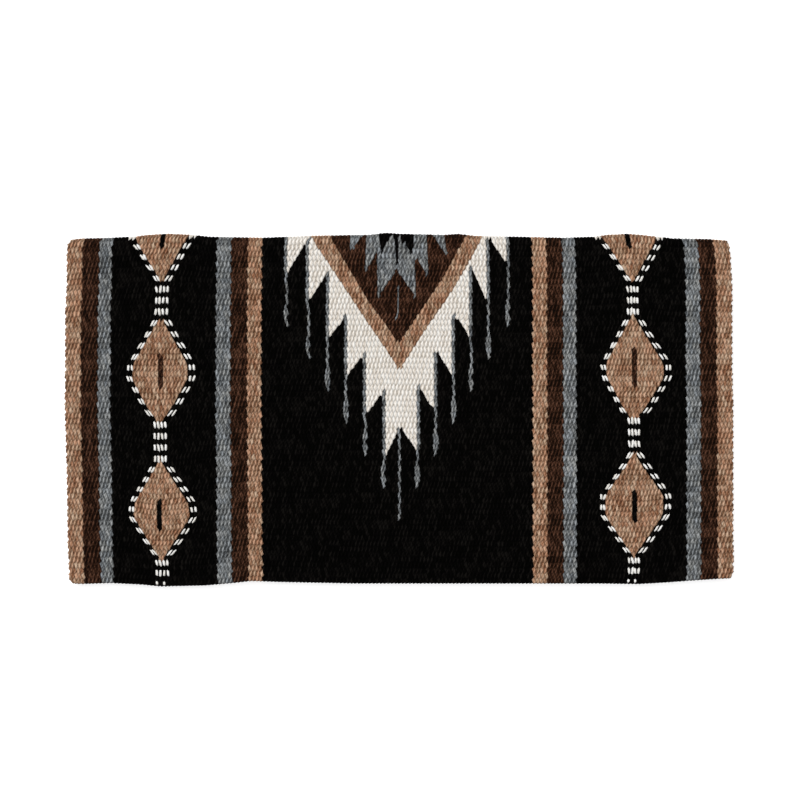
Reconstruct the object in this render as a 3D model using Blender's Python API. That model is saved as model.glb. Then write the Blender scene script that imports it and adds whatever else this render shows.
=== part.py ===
"""A woven wool saddle blanket, folded once across its spine and laid flat.

The warps run along X, beside the fold, and each colour's weft runs along Y, from one selvage over the
fold to the other. Every patch of one colour is a slab of weft with the warps inside it. The origin is
the middle of the underside, +Y is the fold and +Z is up. All lengths are in metres.
"""

import math

import bmesh
import bpy
from mathutils import Matrix, Vector

# The cloth
BLANKET_WIDTH = 0.864
FLAP_LENGTH = 0.457
CLOTH_THICKNESS = 0.007
FLAP_GAP = 0.0005
PIECE_GAP = 0.0003
EDGE_ROUND = 0.0018
CORNER_ROUND = 0.006

# The warps inside it, which the weft wraps
WARP_COUNT = 64
WARP_DIAMETER = 0.0024
SELVAGE_WARP_DIAMETER = 0.003
SIDE_WALL = 0.003

# Stripes, from each side edge inwards and from the centre field outwards. The three black fields share
# the width that the stripes leave.
OUTER_TAN_WIDTH = 0.0208
OUTER_BROWN_WIDTH = 0.0193
OUTER_GREY_WIDTH = 0.0182
INNER_TAN_WIDTH = 0.0192
INNER_BROWN_WIDTH = 0.0202
INNER_GREY_WIDTH = 0.0186
CENTRE_FIELD_SHARE = 0.5562
CENTRE_FIELD_SHIFT = -0.0045

# The diamond chain down each side field. The two full diamonds fill the length that is left over.
CHAIN_OFFSET = 0.004
CHAIN_CLEARANCE = 0.0193
SPINE_DIAMOND_HALF_WIDTH = 0.030
SPINE_DIAMOND_LENGTH = 0.050
NECK_LENGTH = 0.049
NECK_HALF_WIDTH = 0.007
LAST_NECK_LENGTH = 0.0376
DIAMOND_WAIST_LENGTH = 0.012
OUTLINE_WIDTH = 0.008
SELVAGE_BAND = 0.007

# The stepped motif that hangs from the fold
MOTIF_SHIFT = -0.0032
FINGER_COUNT = 6
SERRATE_CLEARANCE = 0.0312
LAST_FINGER_REACH = 0.0229
FIRST_TIP_DEPTH = 0.0333
FIRST_NOTCH_DEPTH = 0.004
FINGER_RISE = 0.0482
CHEVRON_CLEARANCE = 0.0128
CHEVRON_DEPTH = 0.1684
CHEVRON_BAND_WIDTH = 0.0231
STAR_ARM_SHARE = 0.481
STAR_ARM_DEPTH = 0.0415
STAR_NOTCH_DEPTH = 0.019
STAR_LEG_SHARE = 0.297
STAR_LEG_DEPTH = 0.0708
STAR_CENTRE_DEPTH = 0.0396

# Counts of facets, and how far a cutter runs past what it cuts
ARC_STEPS = 12
CORD_SIDES = 8
ROUND_STEPS = 2
OVERRUN = 0.002

HALF_GAP = PIECE_GAP / 2
STACK_HEIGHT = 2 * CLOTH_THICKNESS + FLAP_GAP
FOLD_RADIUS = STACK_HEIGHT / 2
FOLD_INNER_RADIUS = FLAP_GAP / 2
NEUTRAL_RADIUS = (FOLD_RADIUS + FOLD_INNER_RADIUS) / 2
FOLD_LINE = FLAP_LENGTH / 2 - FOLD_RADIUS
FLAT_START = FOLD_LINE - HALF_GAP
FLAT_LENGTH = FLAT_START + FLAP_LENGTH / 2
PIVOT_OFFSET = math.pi / 4 * NEUTRAL_RADIUS

OUTER_STRIPES_WIDTH = OUTER_TAN_WIDTH + OUTER_BROWN_WIDTH + OUTER_GREY_WIDTH
INNER_STRIPES_WIDTH = INNER_TAN_WIDTH + INNER_BROWN_WIDTH + INNER_GREY_WIDTH
FIELDS_WIDTH = BLANKET_WIDTH - 2 * (OUTER_STRIPES_WIDTH + INNER_STRIPES_WIDTH)
CENTRE_FIELD_WIDTH = CENTRE_FIELD_SHARE * FIELDS_WIDTH
SIDE_FIELD_WIDTH = (FIELDS_WIDTH - CENTRE_FIELD_WIDTH) / 2
CHAIN_REACH = (SIDE_FIELD_WIDTH - abs(CENTRE_FIELD_SHIFT)) / 2 - CHAIN_OFFSET - CHAIN_CLEARANCE
DIAMOND_HALF_WIDTH = CHAIN_REACH - OUTLINE_WIDTH
DIAMOND_LENGTH = (FLAT_LENGTH - SPINE_DIAMOND_LENGTH - 2 * NECK_LENGTH - LAST_NECK_LENGTH) / 2

FIRST_FINGER_REACH = CENTRE_FIELD_WIDTH / 2 - SERRATE_CLEARANCE
FINGER_STEP = (FIRST_FINGER_REACH - LAST_FINGER_REACH) / (FINGER_COUNT - 1)
CHEVRON_HALF_WIDTH = FIRST_FINGER_REACH - FINGER_STEP - CHEVRON_CLEARANCE
HEART_HALF_WIDTH = CHEVRON_HALF_WIDTH - CHEVRON_BAND_WIDTH
STAR_HALF_WIDTH = STAR_ARM_SHARE * HEART_HALF_WIDTH
STAR_LEG_REACH = STAR_LEG_SHARE * HEART_HALF_WIDTH

WARP_PITCH = FLAT_LENGTH / WARP_COUNT
WEB_LENGTH = WARP_PITCH - WARP_DIAMETER - 2 * PIECE_GAP
SLOT_HEIGHT = max(WARP_DIAMETER, SELVAGE_WARP_DIAMETER) + 2 * PIECE_GAP
SLOT_HALF_WIDTH = BLANKET_WIDTH / 2 - SIDE_WALL
SELVAGE_WARP_DEPTH = FLAT_LENGTH - WEB_LENGTH / 2 - PIECE_GAP - SELVAGE_WARP_DIAMETER / 2

SIDES = {"left": -1, "right": 1}


def clear_scene():
    for item in list(bpy.data.objects):
        bpy.data.objects.remove(item, do_unlink=True)


def wool(name, colour):
    """A dull woollen yarn of one colour, given in linear light."""
    material = bpy.data.materials.new(name)
    material.use_nodes = True
    shader = material.node_tree.nodes["Principled BSDF"]
    shader.inputs["Base Color"].default_value = (*colour, 1)
    shader.inputs["Roughness"].default_value = 0.9
    shader.inputs["Metallic"].default_value = 0
    material.diffuse_color = (*colour, 1)
    return material


def make_wools():
    return {
        "tan": wool("tan_wool", (0.27, 0.15, 0.09)),
        "brown": wool("brown_wool", (0.028, 0.012, 0.007)),
        "grey": wool("grey_wool", (0.14, 0.145, 0.15)),
        "black": wool("black_wool", (0.004, 0.0035, 0.003)),
        "white": wool("white_wool", (0.66, 0.62, 0.55)),
        "pied": wool("pied_wool", (0.2, 0.19, 0.17)),
        "warp": wool("warp_wool", (0.4, 0.36, 0.3)),
    }


def pivot(name, place):
    """An empty at a joint's axis, which the pieces that turn there are parented to."""
    item = bpy.data.objects.new(name, None)
    item.location = place
    bpy.context.collection.objects.link(item)
    return item


def add_piece(name, data, material, parent, place):
    """An object at a place in the world, parented to an empty that isn't turned or scaled."""
    data.materials.append(material)
    item = bpy.data.objects.new(name, data)
    bpy.context.collection.objects.link(item)
    item.parent = parent
    item.location = Vector(place) - parent.location
    return item


def inset(outline, distance):
    """A closed outline with every side moved inwards by the distance, or outwards where it is negative."""
    points = [Vector(point) for point in outline]
    following = points[1:] + points[:1]
    turning = sum(a.x * b.y - a.y * b.x for a, b in zip(points, following))
    side = math.copysign(1, turning)
    moved = []
    for before, here, after in zip(points[-1:] + points[:-1], points, following):
        arriving = (here - before).normalized()
        leaving = (after - here).normalized()
        first = side * Vector((-arriving.y, arriving.x))
        second = side * Vector((-leaving.y, leaving.x))
        moved.append(here + distance * (first + second) / (1 + first.dot(second)))
    return moved


def ring(bm, outline):
    """The outline's vertices and edges. A depth below the fold is a place along -Y."""
    corners = [bm.verts.new((point.x, -point.y, 0)) for point in outline]
    edges = [bm.edges.new(pair) for pair in zip(corners, corners[1:] + corners[:1])]
    return corners, edges


def on_rim(vertex):
    """Whether a vertex lies on a side edge of the blanket or on its selvage."""
    at_side = abs(vertex.co.x) > BLANKET_WIDTH / 2 - HALF_GAP
    return at_side or -vertex.co.y > FLAT_LENGTH - HALF_GAP


def round_rim(bm):
    """Rounds the plan's corners and then the edges that run along the blanket's rim."""
    upright = [
        edge
        for edge in bm.edges
        if abs(edge.verts[0].co.z - edge.verts[1].co.z) > HALF_GAP
        and all(abs(v.co.x) > BLANKET_WIDTH / 2 - HALF_GAP for v in edge.verts)
        and all(-v.co.y > FLAT_LENGTH - HALF_GAP for v in edge.verts)
    ]
    corner_rim = set()
    if upright:
        made = bmesh.ops.bevel(
            bm,
            geom=upright,
            offset=CORNER_ROUND,
            segments=ROUND_STEPS,
            profile=0.5,
            affect="EDGES",
        )
        corner_rim = {v for face in made["faces"] for v in face.verts}
    lengthwise = [
        edge
        for edge in bm.edges
        if all(on_rim(v) or v in corner_rim for v in edge.verts)
        and abs(edge.verts[0].co.z - edge.verts[1].co.z) < HALF_GAP
        and len({round(face.normal.z) for face in edge.link_faces}) > 1
    ]
    if lengthwise:
        bmesh.ops.bevel(
            bm,
            geom=lengthwise,
            offset=EDGE_ROUND,
            segments=ROUND_STEPS,
            profile=0.5,
            affect="EDGES",
        )


def slab_mesh(name, outline, holes):
    """A slab of the cloth's thickness, inset so that it clears its neighbours by the piece gap."""
    bm = bmesh.new()
    corners, edges = ring(bm, inset(outline, HALF_GAP))
    for hole in holes:
        edges += ring(bm, inset(hole, -HALF_GAP))[1]
    if holes:
        bmesh.ops.triangle_fill(bm, edges=edges, use_beauty=True)
    else:
        bm.faces.new(corners)
    raised = bmesh.ops.extrude_face_region(bm, geom=bm.faces[:])["geom"]
    top = [item for item in raised if isinstance(item, bmesh.types.BMVert)]
    bmesh.ops.translate(bm, verts=top, vec=(0, 0, CLOTH_THICKNESS))
    bmesh.ops.recalc_face_normals(bm, faces=bm.faces[:])
    if not holes:
        round_rim(bm)
    mesh = bpy.data.meshes.new(name)
    bm.to_mesh(mesh)
    bm.free()
    return mesh


def box_mesh(name, low, high):
    bm = bmesh.new()
    made = bmesh.ops.create_cube(bm, size=1)["verts"]
    low, high = Vector(low), Vector(high)
    bmesh.ops.scale(bm, verts=made, vec=high - low)
    bmesh.ops.translate(bm, verts=made, vec=(low + high) / 2)
    mesh = bpy.data.meshes.new(name)
    bm.to_mesh(mesh)
    bm.free()
    return mesh


def rod_mesh(name, diameter, length):
    """A round rod along X."""
    bm = bmesh.new()
    turn = Matrix.Rotation(math.pi / 2, 4, "Y")
    bmesh.ops.create_cone(
        bm,
        cap_ends=True,
        segments=CORD_SIDES,
        radius1=diameter / 2,
        radius2=diameter / 2,
        depth=length,
        matrix=turn,
    )
    mesh = bpy.data.meshes.new(name)
    bm.to_mesh(mesh)
    bm.free()
    return mesh


def add_cutter(name, mesh, parent, place):
    """An object that only cuts others, at a place in the world."""
    item = bpy.data.objects.new(name, mesh)
    bpy.context.collection.objects.link(item)
    item.parent = parent
    item.location = Vector(place) - parent.location
    item.hide_render = True
    item.display_type = "WIRE"
    return item


def cut(item, cutter):
    modifier = item.modifiers.new("cut", "BOOLEAN")
    modifier.operation = "DIFFERENCE"
    modifier.solver = "EXACT"
    modifier.object = cutter


def slot_cutter(name, start, end, parent, place):
    """The flat space for the warps at the middle of the cloth, between two depths below the fold."""
    middle = CLOTH_THICKNESS / 2
    low = (-SLOT_HALF_WIDTH, -end, middle - SLOT_HEIGHT / 2)
    high = (SLOT_HALF_WIDTH, -start, middle + SLOT_HEIGHT / 2)
    return add_cutter(name, box_mesh(name, low, high), parent, place)


def mirrored(half):
    """A closed run of points from the top right, down to the middle and up to the top left."""
    return half + [(-x, depth) for x, depth in reversed(half) if x > 0]


def shifted(outline, x):
    return [(point[0] + x, point[1]) for point in outline]


def rectangle(left, right):
    """A stripe of weft from the fold's foot to the selvage. Its rim sides keep their full reach."""
    end = FLAT_LENGTH + HALF_GAP
    edge = BLANKET_WIDTH / 2
    left = left - HALF_GAP if left <= -edge else left
    right = right + HALF_GAP if right >= edge else right
    return [(left, 0), (left, end), (right, end), (right, 0)]


def stripe_bounds(side):
    """Each stripe's name, colour and two edges on one side, and the edges of the black field between."""
    outer = [("outer_tan", "tan", OUTER_TAN_WIDTH)]
    outer += [("outer_brown", "brown", OUTER_BROWN_WIDTH)]
    outer += [("outer_grey", "grey", OUTER_GREY_WIDTH)]
    inner = [("inner_tan", "tan", INNER_TAN_WIDTH)]
    inner += [("inner_brown", "brown", INNER_BROWN_WIDTH)]
    inner += [("inner_grey", "grey", INNER_GREY_WIDTH)]
    found = []
    outside = side * BLANKET_WIDTH / 2
    for name, colour, width in outer:
        found.append((name, colour, outside, outside - side * width))
        outside -= side * width
    inside = CENTRE_FIELD_SHIFT + side * CENTRE_FIELD_WIDTH / 2
    for name, colour, width in inner:
        found.append((name, colour, inside, inside + side * width))
        inside += side * width
    return found, outside, inside


def diamond_tops():
    """The depths at which the two full diamonds of a chain begin."""
    first = SPINE_DIAMOND_LENGTH + NECK_LENGTH
    return [first, first + DIAMOND_LENGTH + NECK_LENGTH]


def diamond(top):
    middle = top + DIAMOND_LENGTH / 2
    shoulder = DIAMOND_WAIST_LENGTH / 2
    half = [
        (0, top),
        (DIAMOND_HALF_WIDTH, middle - shoulder),
        (DIAMOND_HALF_WIDTH, middle + shoulder),
        (0, top + DIAMOND_LENGTH),
    ]
    return half + [(-x, depth) for x, depth in reversed(half) if x > 0]


def chain_side():
    """The right side of the outline chain, from the fold's foot down to its end above the selvage."""
    spine_slope = SPINE_DIAMOND_HALF_WIDTH / SPINE_DIAMOND_LENGTH
    spine_reach = SPINE_DIAMOND_HALF_WIDTH + OUTLINE_WIDTH
    side = [(spine_reach, 0)]
    side += [(NECK_HALF_WIDTH, (spine_reach - NECK_HALF_WIDTH) / spine_slope)]
    shoulder = DIAMOND_WAIST_LENGTH / 2
    slope = DIAMOND_HALF_WIDTH / (DIAMOND_LENGTH / 2 - shoulder)
    flare = (NECK_HALF_WIDTH - OUTLINE_WIDTH) / slope
    for top in diamond_tops():
        middle = top + DIAMOND_LENGTH / 2
        side += [(NECK_HALF_WIDTH, top + flare), (CHAIN_REACH, middle - shoulder)]
        side += [(CHAIN_REACH, middle + shoulder), (NECK_HALF_WIDTH, top + DIAMOND_LENGTH - flare)]
    return side + [(NECK_HALF_WIDTH, FLAT_LENGTH - SELVAGE_BAND)]


def spine_diamond():
    return [
        (SPINE_DIAMOND_HALF_WIDTH, 0),
        (0, SPINE_DIAMOND_LENGTH),
        (-SPINE_DIAMOND_HALF_WIDTH, 0),
    ]


def serrate_side():
    """The right side of the white steps: down each finger, and up inwards to the next notch."""
    side = []
    for k in range(FINGER_COUNT):
        reach = FIRST_FINGER_REACH - k * FINGER_STEP
        notch = FIRST_NOTCH_DEPTH + (k - 1) * FINGER_RISE if k else 0
        side += [(reach, notch), (reach, FIRST_TIP_DEPTH + k * FINGER_RISE)]
    return side + [(0, FIRST_NOTCH_DEPTH + (FINGER_COUNT - 1) * FINGER_RISE)]


def chevron(half_width):
    """A V of the chevron's slope, open at the fold's foot."""
    return [(half_width, 0), (0, CHEVRON_DEPTH * half_width / CHEVRON_HALF_WIDTH), (-half_width, 0)]


def star_side():
    return [
        (STAR_HALF_WIDTH, 0),
        (STAR_HALF_WIDTH, STAR_ARM_DEPTH),
        (STAR_LEG_REACH, STAR_NOTCH_DEPTH),
        (STAR_LEG_REACH, STAR_LEG_DEPTH),
        (0, STAR_CENTRE_DEPTH),
    ]


def side_patches(side_name):
    """The stripes, the black field and the diamond chain of one side."""
    side = SIDES[side_name]
    stripes, field_outside, field_inside = stripe_bounds(side)
    patches = []
    for name, colour, one, other in stripes:
        patches.append((f"{name}_{side_name}", colour, rectangle(min(one, other), max(one, other)), []))
    centre = (field_outside + field_inside) / 2 + side * CHAIN_OFFSET
    chain = shifted(mirrored(chain_side()), centre)
    field = rectangle(min(field_outside, field_inside), max(field_outside, field_inside)) + chain
    patches.append((f"side_field_{side_name}", "black", field, []))
    diamonds = [shifted(diamond(top), centre) for top in diamond_tops()]
    spine = shifted(spine_diamond(), centre)
    patches.append((f"diamond_outline_{side_name}", "pied", chain + spine[::-1], diamonds))
    patches.append((f"spine_diamond_{side_name}", "tan", spine, []))
    for name, outline in zip(("upper", "lower"), diamonds):
        patches.append((f"{name}_diamond_{side_name}", "tan", outline, []))
    return patches


def centre_patches():
    """The black centre field and the stepped motif that hangs from the fold."""
    half = CENTRE_FIELD_WIDTH / 2
    serrate = shifted(mirrored(serrate_side()), MOTIF_SHIFT)
    outer = shifted(chevron(CHEVRON_HALF_WIDTH), MOTIF_SHIFT)
    inner = shifted(chevron(HEART_HALF_WIDTH), MOTIF_SHIFT)
    star = shifted(mirrored(star_side()), MOTIF_SHIFT)
    field = rectangle(CENTRE_FIELD_SHIFT - half, CENTRE_FIELD_SHIFT + half) + serrate
    return [
        ("centre_field", "black", field, []),
        ("white_serrate", "white", serrate + outer[::-1], []),
        ("tan_chevron", "tan", outer + inner[::-1], []),
        ("brown_heart", "brown", inner + star[::-1], []),
        ("grey_star", "grey", star, []),
    ]


def tube(name, points, diameter, sides):
    """A cord along straight runs between points."""
    curve = bpy.data.curves.new(name, "CURVE")
    curve.dimensions = "3D"
    curve.bevel_depth = diameter / 2
    curve.bevel_resolution = sides // 2 - 2
    curve.use_fill_caps = True
    spline = curve.splines.new("POLY")
    spline.points.add(len(points) - 1)
    for target, point in zip(spline.points, points):
        target.co = (*point, 1)
    return curve


def warp_route():
    """One unbroken warp, back and forth along X and one pitch further down at each turn."""
    reach = SLOT_HALF_WIDTH - PIECE_GAP - WARP_DIAMETER / 2
    turn = WARP_PITCH / 2
    points = []
    for run in range(WARP_COUNT - 1):
        way = 1 if run % 2 == 0 else -1
        depth = (run + 0.5) * WARP_PITCH
        points += [(-way * (reach - turn), -depth, 0), (way * (reach - turn), -depth, 0)]
        if run < WARP_COUNT - 2:
            points.append((way * reach, -depth - turn, 0))
    return points


def make_flap(prefix, parent, base, wools):
    """One flap of the folded blanket: its patches of weft, and the warps in the slot inside them."""
    place = (0, FLAT_START, base)
    whole = slot_cutter(f"{prefix}_warp_slot", WEB_LENGTH / 2, FLAT_LENGTH - WEB_LENGTH / 2, parent, place)
    halves = {}
    for name, top in zip(("upper", "lower"), diamond_tops()):
        web = round((top + DIAMOND_LENGTH / 2) / WARP_PITCH) * WARP_PITCH
        bottom = top + DIAMOND_LENGTH + OVERRUN
        halves[name] = [
            slot_cutter(f"{prefix}_{name}_slot_above", top - OVERRUN, web - WEB_LENGTH / 2, parent, place),
            slot_cutter(f"{prefix}_{name}_slot_below", web + WEB_LENGTH / 2, bottom, parent, place),
        ]
    for name, colour, outline, holes in side_patches("left") + side_patches("right") + centre_patches():
        piece_name = f"{prefix}_{name}"
        mesh = slab_mesh(piece_name, outline, holes)
        piece = add_piece(piece_name, mesh, wools[colour], parent, place)
        for cutter in halves.get(name.split("_diamond_")[0], [whole]):
            cut(piece, cutter)
    middle = (0, FLAT_START, base + CLOTH_THICKNESS / 2)
    warp = tube(f"{prefix}_warp", warp_route(), WARP_DIAMETER, 4)
    add_piece(f"{prefix}_warp", warp, wools["warp"], parent, middle)
    reach = SLOT_HALF_WIDTH - PIECE_GAP
    ends = [(-reach, -SELVAGE_WARP_DEPTH, 0), (reach, -SELVAGE_WARP_DEPTH, 0)]
    selvage = tube(f"{prefix}_selvage_warp", ends, SELVAGE_WARP_DIAMETER, CORD_SIDES)
    add_piece(f"{prefix}_selvage_warp", selvage, wools["warp"], parent, middle)


def fold_mesh(name):
    """The half turn of cloth at the spine, a bent band about the line between the two flaps."""
    bm = bmesh.new()
    rings = []
    for step in range(ARC_STEPS + 1):
        angle = math.pi * (step / ARC_STEPS - 0.5)
        aim = Vector((0, math.cos(angle), math.sin(angle)))
        rings.append([bm.verts.new(aim * radius) for radius in (FOLD_INNER_RADIUS, FOLD_RADIUS)])
    for one, other in zip(rings, rings[1:]):
        bm.faces.new((one[0], one[1], other[1], other[0]))
    bmesh.ops.translate(bm, verts=bm.verts[:], vec=(-BLANKET_WIDTH / 2, 0, 0))
    raised = bmesh.ops.extrude_face_region(bm, geom=bm.faces[:])["geom"]
    far = [item for item in raised if isinstance(item, bmesh.types.BMVert)]
    bmesh.ops.translate(bm, verts=far, vec=(BLANKET_WIDTH, 0, 0))
    bmesh.ops.recalc_face_normals(bm, faces=bm.faces[:])
    rim = [
        edge
        for edge in bm.edges
        if all(math.hypot(v.co.y, v.co.z) > NEUTRAL_RADIUS for v in edge.verts)
        and abs(edge.verts[0].co.x - edge.verts[1].co.x) < HALF_GAP
    ]
    bmesh.ops.bevel(bm, geom=rim, offset=EDGE_ROUND, segments=ROUND_STEPS, profile=0.5, affect="EDGES")
    mesh = bpy.data.meshes.new(name)
    bm.to_mesh(mesh)
    bm.free()
    mesh.shade_smooth()
    mesh.set_sharp_from_angle(angle=math.radians(40))
    return mesh


def make_spine(parent, wools):
    """The bent band of cloth, and the one warp that runs along the middle of its bend."""
    place = Vector((0, FOLD_LINE, STACK_HEIGHT / 2))
    fold = add_piece("spine_fold", fold_mesh("spine_fold"), wools["black"], parent, place)
    at = place + Vector((0, NEUTRAL_RADIUS, 0))
    bore = rod_mesh("spine_bore", WARP_DIAMETER + 2 * PIECE_GAP, BLANKET_WIDTH + 2 * OVERRUN)
    cut(fold, add_cutter("spine_bore", bore, parent, at))
    reach = BLANKET_WIDTH / 2 - SIDE_WALL
    ends = [(-reach, 0, 0), (reach, 0, 0)]
    warp = tube("spine_warp", ends, WARP_DIAMETER, CORD_SIDES)
    add_piece("spine_warp", warp, wools["warp"], parent, at)


def main():
    clear_scene()
    wools = make_wools()
    fold_line = Vector((0, FOLD_LINE, STACK_HEIGHT / 2))
    back = pivot("back_flap", (0, 0, 0))
    spine = pivot("spine_pivot", fold_line + Vector((0, PIVOT_OFFSET, -PIVOT_OFFSET)))
    front = pivot("front_pivot", fold_line + Vector((0, PIVOT_OFFSET, PIVOT_OFFSET)))
    make_flap("back", back, 0, wools)
    make_spine(spine, wools)
    make_flap("front", front, CLOTH_THICKNESS + FLAP_GAP, wools)


main()
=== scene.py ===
import math

import bpy
import numpy as np
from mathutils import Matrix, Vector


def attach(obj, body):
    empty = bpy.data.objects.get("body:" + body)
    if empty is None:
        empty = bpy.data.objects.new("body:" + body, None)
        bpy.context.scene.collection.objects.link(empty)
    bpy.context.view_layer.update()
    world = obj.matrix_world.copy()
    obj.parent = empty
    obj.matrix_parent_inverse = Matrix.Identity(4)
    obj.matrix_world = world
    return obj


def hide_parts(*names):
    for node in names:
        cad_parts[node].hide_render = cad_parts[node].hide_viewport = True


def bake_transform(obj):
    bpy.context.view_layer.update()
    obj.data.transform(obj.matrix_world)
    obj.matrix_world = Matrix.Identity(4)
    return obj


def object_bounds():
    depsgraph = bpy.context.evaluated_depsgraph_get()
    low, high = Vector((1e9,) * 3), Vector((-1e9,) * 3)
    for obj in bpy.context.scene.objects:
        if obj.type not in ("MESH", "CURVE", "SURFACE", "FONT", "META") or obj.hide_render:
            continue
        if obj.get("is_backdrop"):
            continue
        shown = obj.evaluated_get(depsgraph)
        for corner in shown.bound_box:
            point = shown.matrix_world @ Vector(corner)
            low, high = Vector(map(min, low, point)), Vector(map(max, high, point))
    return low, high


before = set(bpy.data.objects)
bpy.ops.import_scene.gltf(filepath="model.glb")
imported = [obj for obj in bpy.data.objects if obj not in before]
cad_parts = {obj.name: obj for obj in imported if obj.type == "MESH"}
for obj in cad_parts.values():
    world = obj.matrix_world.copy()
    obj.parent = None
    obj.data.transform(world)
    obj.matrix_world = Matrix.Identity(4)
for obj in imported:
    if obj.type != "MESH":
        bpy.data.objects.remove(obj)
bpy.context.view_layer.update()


# The warps' wool: undyed cream, three plies twisted together. The cords themselves are laid at the end,
# where the cloth's own waves are known.


def linear(code):
    """An sRGB hex colour as linear red, green and blue."""
    parts = [int(code[i : i + 2], 16) / 255 for i in (0, 2, 4)]
    return tuple(c / 12.92 if c <= 0.04045 else ((c + 0.055) / 1.055) ** 2.4 for c in parts)


def node(tree, kind, links=None, **settings):
    """One shader node with its settings. A link is a value, a colour or another node's output."""
    made = tree.nodes.new("ShaderNode" + kind)
    for name, value in settings.items():
        setattr(made, name, value)
    for name, value in (links or {}).items():
        if isinstance(value, bpy.types.NodeSocket):
            tree.links.new(value, made.inputs[name])
        else:
            made.inputs[name].default_value = value
    return made


def plied_cord(name, dark, light):
    """Twisted wool cord. To the eye: matt, with slanted plies whose grooves get painted shade and whose
    crowns get painted light.
    """
    material = bpy.data.materials.new(name)
    material.use_nodes = True
    tree = material.node_tree
    shader = tree.nodes["Principled BSDF"]
    place = node(tree, "TexCoord").outputs["Object"]
    twist = node(tree, "Mapping", {"Vector": place, "Rotation": (0, 0, math.radians(35))}).outputs["Vector"]
    # At this scale one ply shows every 2 mm.
    plies = node(tree, "TexWave", {"Vector": twist, "Scale": 160.0, "Distortion": 1.5, "Detail": 2.0})
    # Painted shade and light: the wave that raises the plies in the bump also darkens their grooves and
    # lightens their crowns.
    colour = node(tree, "ValToRGB", {"Fac": plies.outputs["Fac"]})
    colour.color_ramp.elements[0].color = (*linear(dark), 1)
    colour.color_ramp.elements[1].color = (*linear(light), 1)
    tree.links.new(colour.outputs["Color"], shader.inputs["Base Color"])
    bump = node(tree, "Bump", {"Height": plies.outputs["Fac"], "Strength": 0.6, "Distance": 0.0004})
    tree.links.new(bump.outputs["Normal"], shader.inputs["Normal"])
    shader.inputs["Roughness"].default_value = 0.9
    shader.inputs["Sheen Weight"].default_value = 0.2
    return material


cream_warp = plied_cord("plied_cream_wool_warp", "8a8070", "cfc6b4")


# The grey forked star at the fold, with its two small triangles and the black points between its arms. Its
# weft is carded grey wool, spun by hand.

BLANKET_WIDTH = 0.864
FLAP_LENGTH = 0.457
CLOTH_THICKNESS = 0.007
STACK_HEIGHT = 0.0145
RIBS = 64
HALF_BEADS = 364
HALF_BEAD = BLANKET_WIDTH / HALF_BEADS
BEAD = 2 * HALF_BEAD
BEND_RADIUS = 0.00375
FOLD_LINE = 0.22125
QUARTER_BEND = math.pi / 2 * BEND_RADIUS
RIB_PITCH = (FLAP_LENGTH / 2 + FOLD_LINE + QUARTER_BEND) / (RIBS + 0.5)
SLANT = 0.8
THINNEST = 0.8

# The weft covers the warps wholly: over one warp it shows as a bead, over the next it hides, so a bead sits
# half a bead further on in each rib. Patches that lie inside others are laid first, and each later patch
# fills what is left of its outline.
taken = {}
drawn_aside = {}
woven = []


def nearest_gap(place, rib):
    """The gap between two beads of a rib that is nearest to a place across the cloth, in metres, and how
    far off it is, both in half beads."""
    real = (place + BLANKET_WIDTH / 2) / HALF_BEAD
    gap = rib % 2 + 2 * math.floor((real - rib % 2) / 2 + 0.5)
    gap = min(max(gap, -(rib % 2)), HALF_BEADS + rib % 2)
    return gap, real - gap


def lay(patch, rib, left, right, smooth=(0.0, 0.0)):
    """Lays beads of a patch on one rib from left to right, where none lie yet. A smooth end is drawn
    towards its true place, and a plain one stays in step with the weave."""
    first, first_off = nearest_gap(left, rib)
    last, last_off = nearest_gap(right, rib)
    laid = [gap for gap in range(first, last, 2) if (rib, gap) not in taken]
    for gap in laid:
        taken[rib, gap] = patch
    if first in laid:
        drawn_aside.setdefault((rib, first), smooth[0] * first_off)
    if last - 2 in laid:
        drawn_aside.setdefault((rib, last), smooth[1] * last_off)


def lay_strand(patch, rib, middle, width, follow):
    """Lays one bead on a rib, as near to its middle as the weave allows, and packs it to its width. It is
    drawn towards its true middle by the share that follow says."""
    gap, off = nearest_gap(middle - HALF_BEAD, rib)
    if (rib, gap) in taken:
        return
    taken[rib, gap] = patch
    spare = 1 - width / BEAD
    drawn_aside.setdefault((rib, gap), follow * off + spare)
    drawn_aside.setdefault((rib, gap + 2), follow * off - spare)


def lay_outline(patch, outline, upright=0.0):
    """Lays a patch inside an outline of corners, each a place across in millimetres and a rib. Borders
    that move by more than SLANT from rib to rib come out true. Upright ones keep the weave's steps, less
    the share that upright says. A part thinner than a bead is a strand, if it isn't under THINNEST."""
    for rib in range(RIBS + 1):
        found = []
        for (x0, r0), (x1, r1) in zip(outline, outline[1:] + outline[:1]):
            if (r0 <= rib) != (r1 <= rib):
                lean = (x1 - x0) / (r1 - r0)
                x = x0 + lean * (rib - r0)
                found.append((x, 1.0 if abs(lean) > SLANT else upright))
        found.sort()
        for (left, soft_left), (right, soft_right) in zip(found[::2], found[1::2]):
            ends = (left / 1000, right / 1000)
            lay(patch, rib, *ends, (soft_left, soft_right))
            if right - left > THINNEST and nearest_gap(ends[0], rib)[0] == nearest_gap(ends[1], rib)[0]:
                lay_strand(patch, rib, (left + right) / 2000, (right - left) / 1000, follow=1.0)


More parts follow.
